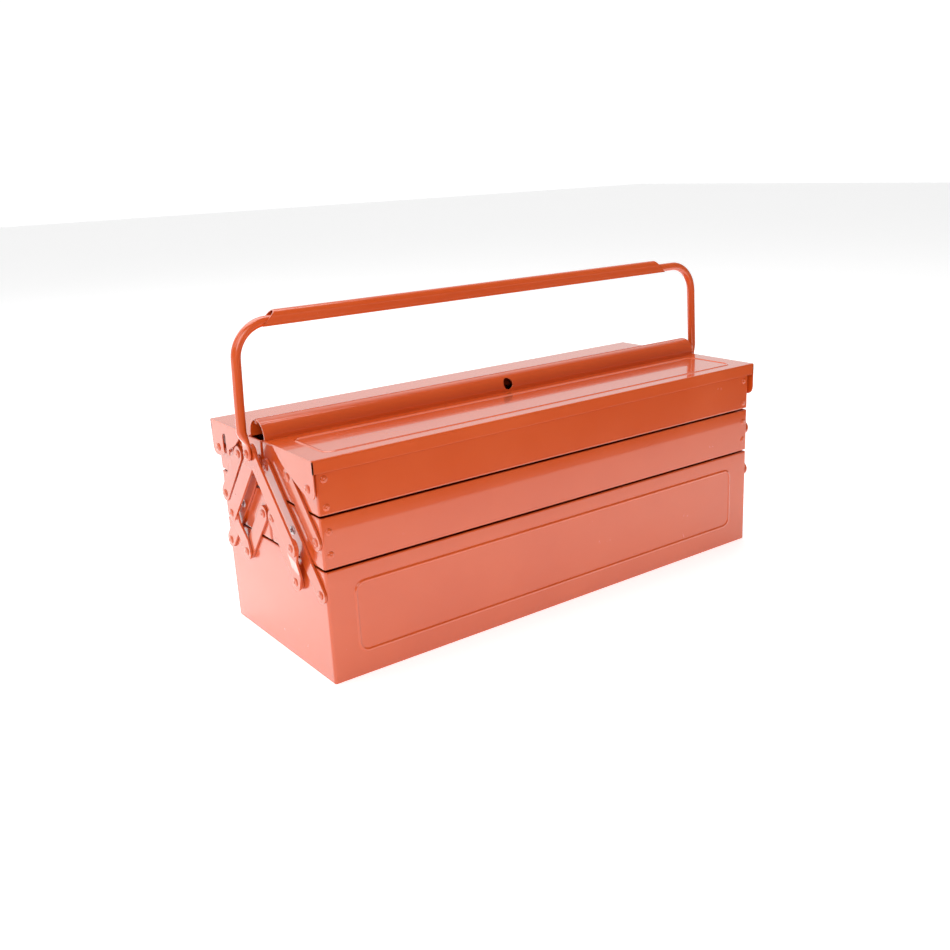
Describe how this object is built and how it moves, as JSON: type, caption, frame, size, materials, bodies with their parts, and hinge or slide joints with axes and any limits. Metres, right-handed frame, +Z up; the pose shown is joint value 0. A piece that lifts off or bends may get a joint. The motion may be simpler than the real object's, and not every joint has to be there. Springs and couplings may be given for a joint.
{
  "type": "toolbox with tray",
  "caption": "Steel cantilever toolbox, closed: paired trays swing out on parallel links from a deep base, under two hinged lids and a tubular carrying handle.",
  "frame": {"origin": "centre of the underside of the base, on the surface it rests on", "axes": "+X along the length to the right end, +Y from the front to the rear, +Z up"},
  "size_m": [0.5668, 0.206, 0.3096],
  "materials": {
    "orange_enamel": "glossy enamel",
    "bare_steel": "bright zinc"
  },
  "bodies": {
    "base": {"base_box": "orange_enamel", "base_lever_rivets": "orange_enamel", "base_foot_rivets": "orange_enamel", "handle_rivets": "orange_enamel", "front_strut_rivets": "orange_enamel", "front_left_strut": "orange_enamel", "front_right_strut": "orange_enamel", "front_left_strut_foot": "orange_enamel", "front_right_strut_foot": "orange_enamel", "rear_strut_rivets": "orange_enamel", "rear_left_strut": "orange_enamel", "rear_right_strut": "orange_enamel", "rear_left_strut_foot": "orange_enamel", "rear_right_strut_foot": "orange_enamel"},
    "front long levers": {"front_left_long_lever": "orange_enamel", "front_right_long_lever": "orange_enamel"},
    "front lower links": {"front_left_lower_link": "orange_enamel", "front_right_lower_link": "orange_enamel"},
    "front upper links": {"front_left_upper_link": "orange_enamel", "front_right_upper_link": "orange_enamel"},
    "front middle tray": {"front_middle_tray": "orange_enamel", "front_middle_tray_rivets": "orange_enamel", "front_middle_corner_rivets": "orange_enamel", "front_tubular_rivets": "bare_steel"},
    "front upper tray": {"front_upper_tray": "orange_enamel", "front_upper_tray_rivets": "orange_enamel", "front_upper_corner_rivets": "orange_enamel", "front_lid_rivets": "orange_enamel"},
    "front lid": {"front_lid": "orange_enamel", "front_ridge": "orange_enamel"},
    "rear long levers": {"rear_left_long_lever": "orange_enamel", "rear_right_long_lever": "orange_enamel"},
    "rear lower links": {"rear_left_lower_link": "orange_enamel", "rear_right_lower_link": "orange_enamel"},
    "rear upper links": {"rear_left_upper_link": "orange_enamel", "rear_right_upper_link": "orange_enamel"},
    "rear middle tray": {"rear_middle_tray": "orange_enamel", "rear_middle_tray_rivets": "orange_enamel", "rear_middle_corner_rivets": "orange_enamel", "rear_tubular_rivets": "bare_steel"},
    "rear upper tray": {"rear_upper_tray": "orange_enamel", "rear_upper_tray_rivets": "orange_enamel", "rear_upper_corner_rivets": "orange_enamel", "rear_lid_rivets": "orange_enamel"},
    "rear lid": {"rear_lid": "orange_enamel", "rear_ridge": "orange_enamel"},
    "carrying handle": {"carrying_handle": "orange_enamel", "handle_grip_cover": "orange_enamel"}
  },
  "joints": [
    {"name": "front trays swing out", "type": "hinge", "parent": "base", "child": "front long levers", "pos_m": [0, -0.092, 0.0815], "axis": [1, 0, 0], "range_deg": [0, 80]},
    {"name": "front middle tray stays level", "type": "hinge", "parent": "front long levers", "child": "front middle tray", "pos_m": [0, -0.0505, 0.1288], "axis": [1, 0, 0], "range_deg": [-81, 1]},
    {"name": "front upper tray stays level", "type": "hinge", "parent": "front long levers", "child": "front upper tray", "pos_m": [0, -0.009, 0.1761], "axis": [1, 0, 0], "range_deg": [-81, 1]},
    {"name": "front lower links follow", "type": "hinge", "parent": "base", "child": "front lower links", "pos_m": [0, -0.0505, 0.0815], "axis": [1, 0, 0], "range_deg": [-1, 81]},
    {"name": "front upper links follow", "type": "hinge", "parent": "front middle tray", "child": "front upper links", "pos_m": [0, -0.092, 0.1288], "axis": [1, 0, 0], "range_deg": [-1, 81]},
    {"name": "front lid opens", "type": "hinge", "parent": "front upper tray", "child": "front lid", "pos_m": [0, -0.0907, 0.1752], "axis": [1, 0, 0], "range_deg": [0, 100]},
    {"name": "rear trays swing out", "type": "hinge", "parent": "base", "child": "rear long levers", "pos_m": [0, 0.092, 0.0815], "axis": [-1, 0, 0], "range_deg": [0, 80]},
    {"name": "rear middle tray stays level", "type": "hinge", "parent": "rear long levers", "child": "rear middle tray", "pos_m": [0, 0.0505, 0.1288], "axis": [-1, 0, 0], "range_deg": [-81, 1]},
    {"name": "rear upper tray stays level", "type": "hinge", "parent": "rear long levers", "child": "rear upper tray", "pos_m": [0, 0.009, 0.1761], "axis": [-1, 0, 0], "range_deg": [-81, 1]},
    {"name": "rear lower links follow", "type": "hinge", "parent": "base", "child": "rear lower links", "pos_m": [0, 0.0505, 0.0815], "axis": [-1, 0, 0], "range_deg": [-1, 81]},
    {"name": "rear upper links follow", "type": "hinge", "parent": "rear middle tray", "child": "rear upper links", "pos_m": [0, 0.092, 0.1288], "axis": [-1, 0, 0], "range_deg": [-1, 81]},
    {"name": "rear lid opens", "type": "hinge", "parent": "rear upper tray", "child": "rear lid", "pos_m": [0, 0.0907, 0.1752], "axis": [-1, 0, 0], "range_deg": [0, 100]},
    {"name": "handle leans", "type": "hinge", "parent": "base", "child": "carrying handle", "pos_m": [0, 0, 0.1887], "axis": [1, 0, 0], "range_deg": [-25, 25]}
  ],
  "couplings": [
    {"joint": "front middle tray stays level", "follows": "front trays swing out", "ratio": -1},
    {"joint": "front upper tray stays level", "follows": "front trays swing out", "ratio": -1},
    {"joint": "front lower links follow", "follows": "front trays swing out", "ratio": 1},
    {"joint": "front upper links follow", "follows": "front trays swing out", "ratio": 1},
    {"joint": "rear middle tray stays level", "follows": "rear trays swing out", "ratio": -1},
    {"joint": "rear upper tray stays level", "follows": "rear trays swing out", "ratio": -1},
    {"joint": "rear lower links follow", "follows": "rear trays swing out", "ratio": 1},
    {"joint": "rear upper links follow", "follows": "rear trays swing out", "ratio": 1}
  ]
}
